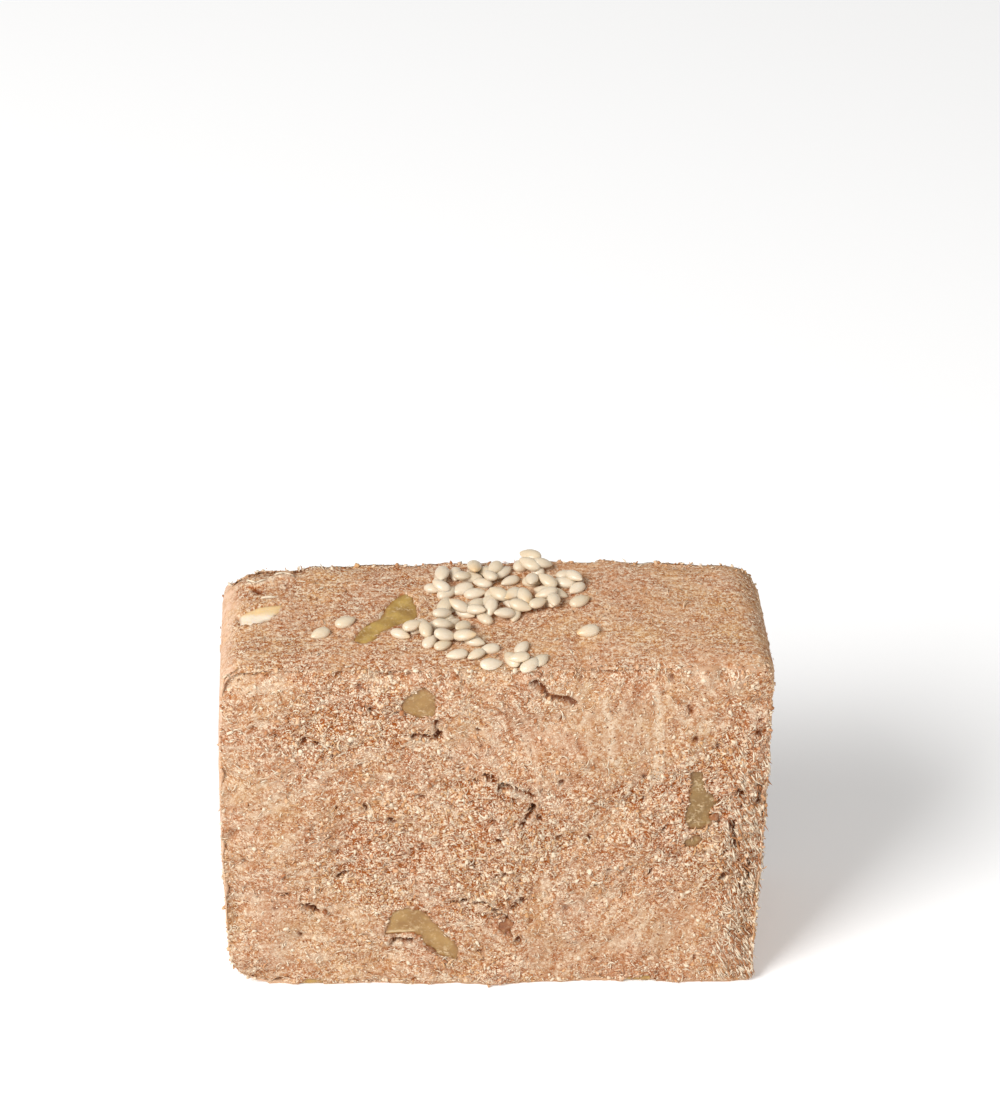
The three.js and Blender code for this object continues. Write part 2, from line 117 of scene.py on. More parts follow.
# Grooves and holes in the front cut: from, to, width, depth.
GROOVES = [
    ((-8.4, 48.6), (-8.0, 45.6), 1.3, 1.6),
    ((-11.4, 46.2), (-8.2, 45.4), 0.8, 0.9),
    ((5.0, 55.6), (6.9, 53.3), 1.5, 1.1),
    ((6.9, 53.3), (10.6, 52.2), 1.6, 0.9),
    ((0.9, 37.2), (5.2, 35.3), 1.4, 1.8),
    ((5.4, 33.6), (4.0, 30.2), 1.1, 1.4),
    ((-5.4, 15.8), (-0.9, 15.6), 1.1, 1.6),
    ((-0.4, 15.2), (2.6, 11.9), 0.8, 1.2),
    ((-14.3, 8.2), (-12.0, 8.4), 1.5, 1.7),
    ((-26.9, 14.9), (-25.6, 13.8), 1.5, 1.3),
    ((33.4, 30.4), (34.2, 25.2), 1.1, 1.2),
    ((36.0, 24.6), (36.6, 19.4), 0.8, 0.9),
    ((35.0, 20.6), (35.6, 17.0), 0.7, 0.7),
    ((25.0, 24.2), (26.0, 23.4), 1.3, 1.5),
    ((-2.7, 47.0), (-2.4, 46.8), 0.9, 1.2),
    ((-17.5, 51.1), (-17.3, 51.0), 1.0, 1.0),
    ((3.7, 8.5), (4.0, 8.2), 1.1, 1.3),
    ((-27.9, 9.8), (-27.4, 9.5), 1.0, 1.1),
    ((-24.6, 26.0), (-23.8, 26.4), 0.9, 0.9),
    ((-21.8, 20.2), (-20.8, 21.0), 1.0, 1.1),
    ((34.0, 36.4), (34.6, 35.4), 1.0, 1.3),
    ((31.0, 31.4), (31.6, 30.6), 1.1, 1.1),
    ((20.2, 32.0), (21.4, 32.6), 1.2, 1.0),
    ((-1.6, 39.0), (0.2, 38.0), 0.9, 0.9),
    ((-4.7, 12.5), (-4.3, 12.4), 0.9, 1.0),
    ((-3.2, 38.1), (-2.4, 37.6), 0.8, 0.7),
    ((-18.6, 33.4), (-18.0, 33.0), 0.8, 0.9),
]

# The fold of torn halva at the back left of the top, and the hollow in front of it.
FOLD = [(-34.3, 7.6), (-33.3, 7.3), (-32.0, 8.0), (-30.8, 8.9), (-29.8, 9.3), (-28.4, 8.8)]
FOLD_HOLLOW = [(-34.0, 6.6), (-33.3, 6.3), (-32.9, 5.6)]
FOLD_WIDTH = 0.5
FOLD_HEIGHT = 0.45
FOLD_DEPTH = 0.8

# Thin curls that stand on the top beside the fold: place, length, and turn in degrees.
CURLS = [
    ((-34.0, 7.5), 1.7, -25),
    ((-32.7, 7.6), 1.9, 30),
    ((-31.4, 8.5), 1.9, 40),
    ((-30.1, 9.2), 1.9, 16),
    ((-28.9, 9.1), 1.7, -24),
    ((-31.6, 4.1), 2.7, 4),
    ((-27.0, 7.9), 1.3, -10),
    ((-24.4, 6.2), 1.4, 25),
]

# Rougher and smoother parts of the front cut: middle, reach, and how much rougher.
ROUGH_PATCHES = [
    ((-6.0, 18.0), (20.0, 8.0), 0.35),
    ((30.0, 30.0), (9.0, 12.0), 0.45),
    ((-14.0, 48.0), (14.0, 7.0), 0.25),
    ((3.0, 34.0), (9.0, 7.0), 0.35),
    ((20.0, 48.0), (13.0, 8.0), -0.30),
    ((-28.0, 10.0), (9.0, 7.0), -0.20),
    ((17.0, 12.0), (12.0, 9.0), -0.15),
    ((-30.0, 32.0), (6.0, 14.0), -0.15),
]

# Loose bits on the halva: how many, the start of their random draw, and their least and largest
# sizes.
FLAKES = (22800, 501, ((0.30, 0.14, 0.08), (1.0, 0.32, 0.18)))
SHARDS = (1100, 919, ((1.2, 0.20, 0.16), (3.0, 0.42, 0.34)))
SHREDS = (7400, 617, ((0.6, 0.35, 0.6), (1.7, 1.5, 1.2)))
CRUMBS = (9500, 733, ((0.28, 0.20, 0.14), (1.1, 0.70, 0.42)))

SHRED_BEND = 110  # how far a shred curves, in degrees
SHRED_THICKNESS = 0.11  # of a shred one millimetre long

# Pale creamy threads in the front cut: from, to, width.
PALE_THREADS = [
    ((21.4, 55.0), (22.8, 48.4), 1.5),
    ((22.8, 48.4), (22.4, 38.6), 1.7),
    ((15.0, 52.6), (16.4, 41.4), 1.3),
    ((-8.0, 33.8), (-5.4, 32.6), 1.5),
    ((3.4, 53.6), (5.2, 51.4), 1.2),
    ((28.0, 33.2), (27.4, 26.8), 0.9),
    ((-28.0, 21.4), (-20.0, 23.2), 1.0),
]


# ---- repeatable noise ----


def lattice_random(i, j, k):
    """A random number from 0 to 1 for each point of a whole-number lattice."""
    i, j, k = (np.asarray(n, np.int64).astype(np.uint32) for n in (i, j, k))
    h = (i * np.uint32(374761393)) ^ (j * np.uint32(668265263)) ^ (k * np.uint32(1274126177))
    h = (h ^ (h >> np.uint32(13))) * np.uint32(1103515245)
    return (h ^ (h >> np.uint32(16))) / 4294967295.0


def noise(points, cell):
    """Smooth noise from -1 to 1 that changes over about one cell."""
    scaled = points / cell
    low = np.floor(scaled)
    part = scaled - low
    ease = part * part * (3 - 2 * part)
    low = low.astype(np.int64)
    total = np.zeros(len(points))
    for corner in range(8):
        step = np.array([corner & 1, corner >> 1 & 1, corner >> 2])
        share = np.where(step == 1, ease, 1 - ease).prod(axis=1)
        total += share * lattice_random(*(low + step).T)
    return 2 * total - 1


def noise_vectors(points, cell):
    """Three noises that don't follow each other."""
    shifts = ((0.0, 0.0, 0.0), (71.3, 12.7, 33.1), (19.9, 57.7, 88.3))
    return np.stack([noise(points + np.array(shift), cell) for shift in shifts], axis=1)


def random_run(start):
    """A run of random numbers from 0 to 1, the same for the same start."""
    mask = 0xFFFFFFFF
    state = start
    while True:
        state = (state + 0x6D2B79F5) & mask
        t = ((state ^ state >> 15) * (1 | state)) & mask
        t = (t + ((t ^ t >> 7) * (61 | t) & mask) & mask) ^ t
        yield (t ^ t >> 14) / 4294967296


def smoothstep(value, low, high):
    share = np.clip((value - low) / (high - low), 0, 1)
    return share * share * (3 - 2 * share)


def unit(vectors):
    return vectors / np.maximum(np.linalg.norm(vectors, axis=1, keepdims=True), 1e-9)


# ---- meshes to numbers and back ----


def read(items, key, kind=float, width=1):
    """One property of all of a mesh's points, edges, corners or faces."""
    values = np.empty((len(items), width), kind)
    items.foreach_get(key, values.ravel())
    return values if width > 1 else values[:, 0]


def points_of(mesh):
    """A mesh's points in millimetres."""
    return read(mesh.vertices, "co", width=3) / MM


def move_points(mesh, points):
    mesh.vertices.foreach_set("co", (points * MM).astype(np.float32).ravel())
    mesh.update()


def normals_of(mesh):
    return read(mesh.vertex_normals, "vector", np.float32, 3).astype(float)


def store(mesh, **numbers):
    """Keeps named numbers for each point of a mesh, for its material."""
    for name, values in numbers.items():
        attribute = mesh.attributes.new(name, "FLOAT", "POINT")
        attribute.data.foreach_set("value", np.asarray(values, np.float32))


def mesh_from(bm, name):
    """A mesh from a bmesh in millimetres."""
    bmesh.ops.scale(bm, vec=(MM, MM, MM), verts=bm.verts)
    bmesh.ops.recalc_face_normals(bm, faces=bm.faces)
    mesh = bpy.data.meshes.new(name)
    bm.to_mesh(mesh)
    bm.free()
    return mesh


def add_object(name, data):
    made = bpy.data.objects.new(name, data)
    bpy.context.scene.collection.objects.link(made)
    return made


def piece(mesh, material, replaces=()):
    """A finished piece of the slice."""
    made = add_object(mesh.name, mesh)
    mesh.materials.clear()
    mesh.materials.append(material)
    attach(made, "root")
    if replaces:
        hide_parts(*replaces)


def smooth(mesh):
    mesh.polygons.foreach_set("use_smooth", np.ones(len(mesh.polygons), bool))


def joined_copies(name, template, matrices, values):
    """One mesh of many copies of a small shape, each placed by its own matrix. values holds named
    numbers, one for each copy."""
    shape = points_of(template)
    count, size = len(matrices), len(shape)
    spin = matrices[:, None, :3, :3] @ shape[None, :, :, None]
    points = spin[..., 0] + matrices[:, None, :3, 3]
    loops = read(template.loops, "vertex_index", np.int32)
    starts = read(template.polygons, "loop_start", np.int32)
    copies = np.arange(count)[:, None]
    mesh = bpy.data.meshes.new(name)
    mesh.vertices.add(count * size)
    mesh.loops.add(count * len(loops))
    mesh.polygons.add(count * len(starts))
    mesh.vertices.foreach_set("co", (points * MM).astype(np.float32).ravel())
    mesh.loops.foreach_set("vertex_index", (loops + copies * size).astype(np.int32).ravel())
    mesh.polygons.foreach_set("loop_start", (starts + copies * len(loops)).astype(np.int32).ravel())
    mesh.update(calc_edges=True)
    store(mesh, **{key: np.repeat(per_copy, size) for key, per_copy in values.items()})
    return mesh


# ---- nuts, as the solids have them ----


def nut_nodes():
    return {name: node for name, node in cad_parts.items() if name.startswith("walnut")}


def tree_of(nodes, facing=None):
    """A search tree over some of the solids, in millimetres, less the faces square to facing."""
    bm = bmesh.new()
    for node in nodes:
        bm.from_mesh(node.data)
    bmesh.ops.scale(bm, vec=(1 / MM, 1 / MM, 1 / MM), verts=bm.verts)
    if facing is not None:
        flat = [face for face in bm.faces if abs(face.normal.dot(facing)) > FLAT]
        bmesh.ops.delete(bm, geom=flat, context="FACES")
    tree = BVHTree.FromBMesh(bm)
    bm.free()
    return tree


def distances(tree, points, reach):
    """How far each point is from a tree's surfaces, or reach where that is farther."""
    found = (tree.find_nearest(Vector(point), reach)[3] for point in points)
    return np.array([reach if d is None else d for d in found])


def over_nuts(tree, p, out, nut_distance):
    """True where a point lies over a nut's cut face, farther in than the halva laps over it."""
    lap = LAP[0] + (LAP[1] - LAP[0]) * (0.5 + 0.5 * noise(p, 0.9))
    over = np.zeros(len(p), bool)
    for n in np.nonzero(nut_distance < NUT_PROBE)[0]:
        down = -Vector(out[n])
        start = Vector(p[n]) - down * NUT_PROBE
        side = down.orthogonal().normalized() * lap[n]
        turns = (Matrix.Rotation(math.radians(turn), 3, down) for turn in range(0, 360, 60))
        spots = [start, *(start + turn @ side for turn in turns)]
        over[n] = all(tree.ray_cast(at, down, 2.4 * NUT_PROBE)[0] is not None for at in spots)
    return over


# ---- halva ----


def gridded_box():
    """The slice before its corners are rounded, each of its six faces a fine grid."""
    bm = bmesh.new()
    size = Vector((WIDTH, DEPTH, HEIGHT))
    for out in OUTWARDS.values():
        up = OUTWARDS["back"] if out.z else OUTWARDS["top"]
        right = up.cross(out)
        across, tall = abs(right.dot(size)), abs(up.dot(size))
        away = abs(out.dot(size)) / 2
        place = Matrix((right * across, up * tall, out)).transposed().to_4x4()
        place.translation = Vector((0, 0, HEIGHT / 2)) + out * away
        steps = {"x_segments": round(across / STEP), "y_segments": round(tall / STEP)}
        bmesh.ops.create_grid(bm, size=0.5, matrix=place, **steps)
    bmesh.ops.remove_doubles(bm, verts=bm.verts, dist=STEP / 20)
    return mesh_from(bm, "halva_body")


def round_corners(p):
    """Rounds the loaf's four long corners, squeezing the square corner into the round."""
    for side, rise, front, back in CORNERS:
        radius = front + (back - front) * (p[:, 1] / DEPTH + 0.5)
        middle_x = side * (WIDTH / 2 - radius)
        middle_z = HEIGHT - radius if rise > 0 else radius
        across = (p[:, 0] - middle_x) * side
        along = (p[:, 2] - middle_z) * rise
        corner = (across > 0) & (along > 0)
        squeeze = np.maximum(across, along) / np.maximum(np.hypot(across, along), 1e-9)
        p[:, 0] = np.where(corner, middle_x + side * across * squeeze, p[:, 0])
        p[:, 2] = np.where(corner, middle_z + rise * along * squeeze, p[:, 2])


def bulge_ends(p):
    """Swells the two ends, most at half the height."""
    share = 2 * p[:, 0] / WIDTH
    swell = np.sin(math.pi * p[:, 2] / HEIGHT)
    p[:, 0] += share * swell * np.where(share < 0, BULGE_LEFT, BULGE_RIGHT)


def rim_distance(p):
    """How far a point is from the nearest rim of a cut, measured over the surface."""
    to_cut = DEPTH / 2 - np.abs(p[:, 1])
    to_side = np.minimum(WIDTH / 2 - np.abs(p[:, 0]), np.minimum(HEIGHT - p[:, 2], p[:, 2]))
    return np.maximum(0, np.maximum(to_cut, to_side))


def segment_distance(p, start, end):
    """How far points are from a straight stretch between two ends."""
    start, run = np.array(start), np.array(end) - np.array(start)
    away = p - start
    share = np.clip(away @ run / max(run @ run, 1e-9), 0, 1)
    return np.linalg.norm(away - share[:, None] * run, axis=1)


def footing(p):
    """Small at the base, rising to 1 above the foot of the slice."""
    return 0.25 + 0.75 * smoothstep(p[:, 2], 0, FOOT)


def on_cut(share_on_sides, cut):
    return share_on_sides + (1 - share_on_sides) * cut


def relief(p, cut, nut_distance):
    """How far the surface stands out from the plain rounded slice, as the solid has it."""
    ragged = np.maximum(0, 1 - rim_distance(p) / NIBBLE_REACH)
    nibble = NIBBLE_HEIGHT * ragged * np.minimum(0, noise(p, NIBBLE_CELL)) * footing(p)
    lump = LUMP_HEIGHT * noise(p, LUMP_CELL) * on_cut(LUMP_ON_SIDES, cut)
    crag = CRAG_HEIGHT * noise(p, CRAG_CELL) * cut
    calm = smoothstep(nut_distance, 0, CALM)
    start, end, reach, depth = CRUMBLED
    crumbled = depth * np.maximum(0, 1 - segment_distance(p, start, end) / reach)
    return (lump + crag + nibble * on_cut(NIBBLE_ON_SIDES, cut)) * calm - crumbled


def grain_direction(p, out, cut):
    """The way that the halva's threads run: round the loaf on the moulded faces, and in one wide
    swirl on a cut."""
    moulded = np.stack([out[:, 2], np.zeros(len(p)), -out[:, 0]], axis=1)
    seen_x = np.where(p[:, 1] < 0, p[:, 0], -p[:, 0])
    swept = SWIRL_SWEEP * smoothstep(seen_x, -26, 20)
    turn = np.radians(SWIRL_TURN - swept + SWIRL_DRIFT * noise(p, 13.0))
    threads = np.stack([np.cos(turn), np.zeros(len(p)), np.sin(turn)], axis=1)
    mixed = threads * cut[:, None] + moulded * (1 - cut[:, None])
    flat = mixed - out * np.sum(mixed * out, axis=1, keepdims=True)
    return unit(flat)


def streaks(p, direction, cell, reach):
    """Noise that is drawn out along a direction, from -1 to 1."""
    samples = np.linspace(-reach, reach, 7)
    drawn = sum(noise(p + direction * s, cell) for s in samples)
    return np.clip(drawn / 2.6, -1, 1)


def roughness_of_cut(p, cut):
    """How crumbly a cut is, about 1 in its rough parts and 0 on the moulded faces."""
    rough = 0.62 + 0.30 * noise(p, 9.0)
    front = p[:, 1] < 0
    for (x, z), (reach_x, reach_z), more in ROUGH_PATCHES:
        away = ((p[:, 0] - x) / reach_x) ** 2 + ((p[:, 2] - z) / reach_z) ** 2
        rough += np.where(front, more, 0) * np.exp(-away)
    return np.clip(rough, 0.2, 1.25) * cut


def pits(p, direction, chance, kind):
    """Small pits, drawn out along a direction: 0 outside them and up to 1 in the deepest."""
    cell, radii, draw = kind
    low = np.floor(p / cell).astype(np.int64)
    deepest = np.zeros(len(p))
    for n in range(27):
        at = low + np.array([n % 3, n // 3 % 3, n // 9]) - 1
        rolls = [lattice_random(*(at + draw * (r + 1)).T) for r in range(5)]
        away = (at + np.stack(rolls[:3], axis=1)) * cell - p
        along = np.sum(away * direction, axis=1)
        spread = np.sum(away * away, axis=1) - 0.6 * along * along
        radius = radii[0] + (radii[1] - radii[0]) * rolls[3]
        hollow = np.clip(1 - spread / radius**2, 0, 1) * (0.4 + 0.6 * rolls[3])
        deepest = np.maximum(deepest, np.where(rolls[4] < chance, hollow, 0))
    return deepest


def groove_shape(p):
    """How deep the front cut's grooves and holes are, and how far their torn lips stand out."""
    wander = p + 0.40 * noise_vectors(p, 1.3) + 0.20 * noise_vectors(p, 0.6)
    uneven = (0.90 + 0.35 * noise(p, 1.2)) * (0.3 + 0.7 * smoothstep(noise(p + 5.0, 1.5), -0.6, 0.1))
    torn = np.clip(noise(p, 0.9) + 0.35, 0, 1)
    front = p[:, 1] < -DEPTH / 4
    depth, lip = np.zeros(len(p)), np.zeros(len(p))
    for start, end, width, deep in GROOVES:
        away = segment_distance(wander[:, [0, 2]], start, end) / (0.38 * width)
        depth = np.maximum(depth, deep * uneven * np.clip(1.15 - away**2, 0, 1))
        lip = np.maximum(lip, 0.26 * deep * torn * np.clip(1 - np.abs(away - 1.6) / 0.7, 0, 1))
    return depth * front, lip * front


def line_distance(p, points):
    """How far points are from a line of several straight stretches."""
    return np.min([segment_distance(p, *ends) for ends in zip(points, points[1:])], axis=0)


def fold_shape(p):
    """The fold at the back left of the top, less the hollow in front of it."""
    wander = (p + 0.25 * noise_vectors(p, 0.8))[:, :2]
    raised = FOLD_HEIGHT * np.clip(1 - (line_distance(wander, FOLD) / FOLD_WIDTH) ** 2, 0, 1)
    hollow = FOLD_DEPTH * np.clip(1 - (line_distance(wander, FOLD_HOLLOW) / FOLD_WIDTH) ** 2, 0, 1)
    return np.where(p[:, 2] > 0.9 * HEIGHT, raised - hollow, 0)


def pale_threads(p):
    """Where the front cut shows pale creamy threads, from 0 to 1."""
    pale = np.zeros(len(p))
    wander = p + 0.6 * noise_vectors(p, 2.4) + 0.25 * noise_vectors(p, 0.8)
    for start, end, width in PALE_THREADS:
        away = segment_distance(wander[:, [0, 2]], start, end) / (width / 2)
        pale = np.maximum(pale, np.clip(1.2 - away, 0, 1))
    return np.where(p[:, 1] < -DEPTH / 4, pale, 0)


def neighbour_mean(mesh, values, rounds):
    """Each point's value, evened out over its neighbours."""
    a, b = read(mesh.edges, "vertices", np.int32, 2).T
    count = np.bincount(np.concatenate([a, b]), minlength=len(values))
    for _ in range(rounds):
        total = np.bincount(a, values[b], len(values)) + np.bincount(b, values[a], len(values))
        values = 0.5 * values + 0.5 * total / np.maximum(count, 1)
    return values


def round_the_loaf(p):
    """How far round the loaf a point lies from the middle of its top, in millimetres."""
    middle = np.array([0, HEIGHT / 2])
    side = np.clip(p[:, [0, 2]] - middle, [-WIDTH / 2, -HEIGHT / 2], [WIDTH / 2, HEIGHT / 2])
    x, z = side.T
    on_top = z / HEIGHT > np.abs(x) / WIDTH
    on_base = -z / HEIGHT > np.abs(x) / WIDTH
    end = WIDTH / 2 + HEIGHT / 2 - z
    base = WIDTH + HEIGHT - np.abs(x)
    return np.sign(x) * np.where(on_top, np.abs(x), np.where(on_base, base, end))


def make_halva(nut_tree):
    mesh = gridded_box()
    p = points_of(mesh)
    flat = p.copy()
    rim = rim_distance(p)
    jitter = noise_vectors(p * 7.3, 1.0) * JITTER
    round_corners(p)
    bulge_ends(p)
    move_points(mesh, p)
    out = normals_of(mesh)
    p += (jitter - out * np.sum(jitter * out, axis=1, keepdims=True)) * (rim > STEP / 2)[:, None]
    cut = out[:, 1] ** 2
    nut_distance = distances(nut_tree, p, CALM + NUT_SINK)
    over_nut = over_nuts(nut_tree, p, out, nut_distance)
    beside = np.maximum(0, nut_distance - NUT_SINK)
    direction = grain_direction(p, out, cut)
    rough = roughness_of_cut(p, cut)
    streak = streaks(p, direction, 0.6, 1.6)

    # The relief that the solid has, then finer crumbs, chips along the rims, pits and grooves.
    stand_out = relief(p, cut, beside)
    wear = np.where(rim < STEP / 2, RIM_WEAR, RIM_WEAR * math.sqrt(0.5))
    stand_out -= wear * np.maximum(0, 1 - rim / GRID) * footing(p)
    near_nut = 0.3 + 0.7 * smoothstep(beside, 0, 1.2)
    clods = CLOD_HEIGHT * smoothstep(rough, 0.6, 0.9) * (np.abs(noise(p, CLOD_CELL)) - 0.3)
    crumb = CRUMB_HEIGHT * noise(p, CRUMB_CELL) + MORSEL_HEIGHT * noise(p, MORSEL_CELL)
    crumb = crumb + STREAK_HEIGHT * streak + clods
    fine = rough * crumb + (1 - cut) * (0.06 * noise(p, 1.7) + 0.06 * streak)
    smooth_end = 0.2 + 0.8 * smoothstep(p[:, 0], -36, -30)
    chip = np.maximum(0, 1 - rim / CHIP_REACH) * np.minimum(0, noise(p, CHIP_CELL))
    chip = chip * footing(p) * smooth_end
    fine += CHIP_HEIGHT * chip * on_cut(0.5, cut)
    wander = p + 0.3 * noise_vectors(p, 0.9)
    pit = pits(wander, direction, 0.08 + 0.30 * rough, LARGE_PITS)
    pit = np.maximum(pit, 0.6 * pits(wander, direction, 0.36 * rough, SMALL_PITS))
    pit *= np.where(cut > 0.3, 0.45 + 0.65 * rough, 0.12) * near_nut
    groove, lip = groove_shape(p)
    fold = fold_shape(p) * (1 - cut)
    base = out[:, 2] < -0.99
    lift = stand_out + fine * near_nut - pit - groove + lip + fold
    lift = np.where(over_nut, -POCKET, np.where(base, 0, lift))
    sway = SWAY * noise_vectors(p, SWAY_CELL) * (rough * near_nut * ~over_nut * ~base)[:, None]
    p += out * lift[:, None] + sway * (rim > STEP)[:, None]
    p[:, 2] = np.maximum(p[:, 2], 0)
    move_points(mesh, p)
    smooth(mesh)

    # Painted shade and light: the hollow number darkens the halva in its pits, grooves and creases as
    # painted shade, and pales the fold's crest and other bulges as painted light.
    painted_crease_shade = (neighbour_mean(mesh, lift, CAVITY_ROUNDS) - lift) * smoothstep(rim, 0.2, 1.6)
    painted_crease_shade *= smoothstep(beside, 0.2, 1.0)
    hollow = np.clip(0.5 * pit + 0.55 * groove + 1.3 * painted_crease_shade - 0.9 * fold, -1, 1)
    store(mesh, hollow=hollow, streak=streak, cut=cut, rough=rough)
    store(mesh, around=round_the_loaf(flat) * MM, pale=pale_threads(p))
    facts = dict(points=p, out=normals_of(mesh), direction=direction, cut=cut, rough=rough)
    return mesh, dict(facts, rim=rim, free=~over_nut & ~base)


# ---- flakes and crumbs ----


def flake_shape():
    """A thin shard, pointed at its ends, one millimetre each way."""
    bm = bmesh.new()
    bmesh.ops.create_uvsphere(bm, u_segments=4, v_segments=2, radius=0.5)
    return mesh_from(bm, "flake_shape")


def round_bit(subdivisions):
    """A round bit, one millimetre each way."""
    bm = bmesh.new()
    bmesh.ops.create_icosphere(bm, subdivisions=subdivisions, radius=0.5)
    return mesh_from(bm, "round_bit")


def shred_shape():
    """A thin curved shred, pointed at its ends and one millimetre long."""
    bm = bmesh.new()
    bend = math.radians(SHRED_BEND)
    radius = 0.5 / math.sin(bend / 2)
    start = Matrix.Rotation(-bend / 2, 4, "Z") @ Matrix.Translation((0, radius, 0))
    start = start @ Matrix.Rotation(math.pi / 2, 4, "Y")
    bmesh.ops.create_circle(bm, cap_ends=True, segments=3, radius=SHRED_THICKNESS, matrix=start)
    bmesh.ops.spin(bm, geom=bm.faces[:], cent=(0, 0, 0), axis=(0, 0, 1), angle=bend, steps=4)
    for vert in bm.verts:
        turn = math.atan2(-vert.co.x, vert.co.y)
        spine = Vector((-math.sin(turn), math.cos(turn), 0)) * radius
        vert.co = spine + (vert.co - spine) * (1 - 0.8 * abs(2 * turn / bend) ** 2)
    bmesh.ops.translate(bm, verts=bm.verts, vec=(0, -radius * (1 + math.cos(bend / 2)) / 2, 0))
    return mesh_from(bm, "shred_shape")


def turned(vectors, axes, angles):
    """Vectors turned about unit axes that are square to them."""
    return vectors * np.cos(angles)[:, None] + np.cross(axes, vectors) * np.sin(angles)[:, None]


def scattered(facts, weight, kind, spread, tilt, sink):
    """Matrices for small shapes on the halva, drawn by weight, and a random number for each."""
    count, start, sizes = kind
    draw = np.random.default_rng(start)
    chosen = draw.choice(len(weight), count, p=weight / weight.sum())
    out, along = facts["out"][chosen], facts["direction"][chosen]
    along = unit(along - out * np.sum(along * out, axis=1, keepdims=True))
    along = turned(along, out, np.radians(spread) * draw.normal(size=count))
    across = np.cross(out, along)
    lean = np.radians(tilt) * draw.normal(size=count)
    along, up = turned(along, across, lean), turned(out, across, lean)
    roll = np.radians(tilt) * draw.normal(size=count)
    across, up = turned(across, along, roll), turned(up, along, roll)
    low, high = np.array(sizes[0]), np.array(sizes[1])
    size = low + (high - low) * draw.random((count, 1)) ** 2 * (0.7 + 0.6 * draw.random((count, 3)))
    place = facts["points"][chosen] + (draw.random((count, 3)) - 0.5) * STEP
    place -= out * (size[:, 2] * sink)[:, None]
    place[:, 2] = np.maximum(place[:, 2], 0.75 * size[:, 0])
    matrices = np.zeros((count, 4, 4))
    matrices[:, :3, 0] = along * size[:, :1]
    matrices[:, :3, 1] = across * size[:, 1:2]
    matrices[:, :3, 2] = up * size[:, 2:]
    matrices[:, :3, 3] = place
    matrices[:, 3, 3] = 1
    return matrices, draw.random(count)


def bare_end(facts):
    """Near 0 on the smooth left end, and 1 elsewhere."""
    return 1 - (1 - facts["cut"]) * smoothstep(-facts["points"][:, 0], 34, 36.5) * 0.95


def make_flakes(facts):
    weight = facts["free"] * (0.20 + 0.9 * facts["cut"] * (0.3 + facts["rough"]))
    weight *= (1 + 0.8 * np.maximum(0, 1 - facts["rim"] / 1.5)) * bare_end(facts)
    small, tint = scattered(facts, weight, FLAKES, 40, 16, 0.15)

    # Larger shards that slant down the right edge of the front cut.
    x, y, z = facts["points"].T
    at_edge = smoothstep(x, 31, 36) * (1 - smoothstep(z, 28, 50)) * (y < 0)
    slanting = dict(facts, direction=np.tile([0.42, 0.0, -0.9], (len(x), 1)))
    weight = facts["free"] * facts["cut"] * at_edge
    large, large_tint = scattered(slanting, weight, SHARDS, 12, 12, 0.05)
    tints = {"tint": np.concatenate([tint, np.where(large_tint < 0.4, 0.05, 0.85)])}
    return joined_copies("halva_flakes", flake_shape(), np.concatenate([small, large]), tints)


def curl_places(facts):
    """Places for the curls beside the fold, each standing up as an arch."""
    top = facts["points"][facts["points"][:, 2] > 0.9 * HEIGHT]
    places = []
    for (x, y), length, turn in CURLS:
        floor = top[np.argmin(np.hypot(top[:, 0] - x, top[:, 1] - y)), 2]
        place = Matrix.Translation((x, y, floor + 0.05)) @ Matrix.Rotation(math.radians(turn), 4, "Z")
        place = place @ Matrix.Rotation(math.pi / 2, 4, "X")
        places.append(place @ Matrix.Diagonal((length, 0.5 * length, 1.3 * length, 1)))
    return np.array(places)


def make_shreds(facts):
    weight = facts["free"] * (0.10 + facts["cut"] * facts["rough"] ** 1.5) * bare_end(facts)
    matrices, tint = scattered(facts, weight, SHREDS, 60, 20, 0.02)
    matrices = np.concatenate([matrices, curl_places(facts)])
    tint = np.concatenate([tint, np.full(len(CURLS), 0.85)])
    return joined_copies("halva_shreds", shred_shape(), matrices, {"tint": tint})


def make_crumbs(facts):
    weight = facts["free"] * facts["cut"] * facts["rough"] ** 2
    weight = weight + 0.8 * facts["free"] * np.maximum(0, 1 - facts["rim"] / 1.2) * bare_end(facts)
    matrices, tint = scattered(facts, weight, CRUMBS, 90, 25, 0.28)
    mesh = joined_copies("halva_crumbs", round_bit(1), matrices, {"tint": tint})
    p = points_of(mesh)
    move_points(mesh, p + 0.13 * noise_vectors(p, 0.22))
    return mesh


# ---- seeds ----


def seed_shape():
    """One hulled seed lying along X, its round end at +X and its tip at -X."""
    bm = bmesh.new()
    bmesh.ops.create_uvsphere(bm, u_segments=20, v_segments=14, radius=1)
    bmesh.ops.rotate(bm, verts=bm.verts, matrix=Matrix.Rotation(math.pi / 2, 3, "Y"))
    for vert in bm.verts:
        t = vert.co.x
        plump = 1.0 + SEED_ROUND_END * t - SEED_TIP * max(0, -t) ** 2
        vert.co.x = t * SEED_LENGTH / 2
        vert.co.y *= plump * SEED_WIDTH / 2
        vert.co.z *= plump * SEED_THICKNESS / 2 * (1.04 - SEED_FLATTENING * abs(vert.co.y))
    return mesh_from(bm, "seed_shape")


def touches_nut(tree, x, y, turn):
    """True where a seed's ends or middle would come too near a nut in the top."""
    clearance = SEED_WIDTH / 2 + NUT_GAP
    for share in (-0.4, 0, 0.4):
        reach = share * SEED_LENGTH
        spot = Vector((x + reach * math.cos(turn), y + reach * math.sin(turn), HEIGHT - NUT_SINK))
        distance = tree.find_nearest(spot)[3]
        if distance < clearance * (1 - share * share):
            return True
    return False


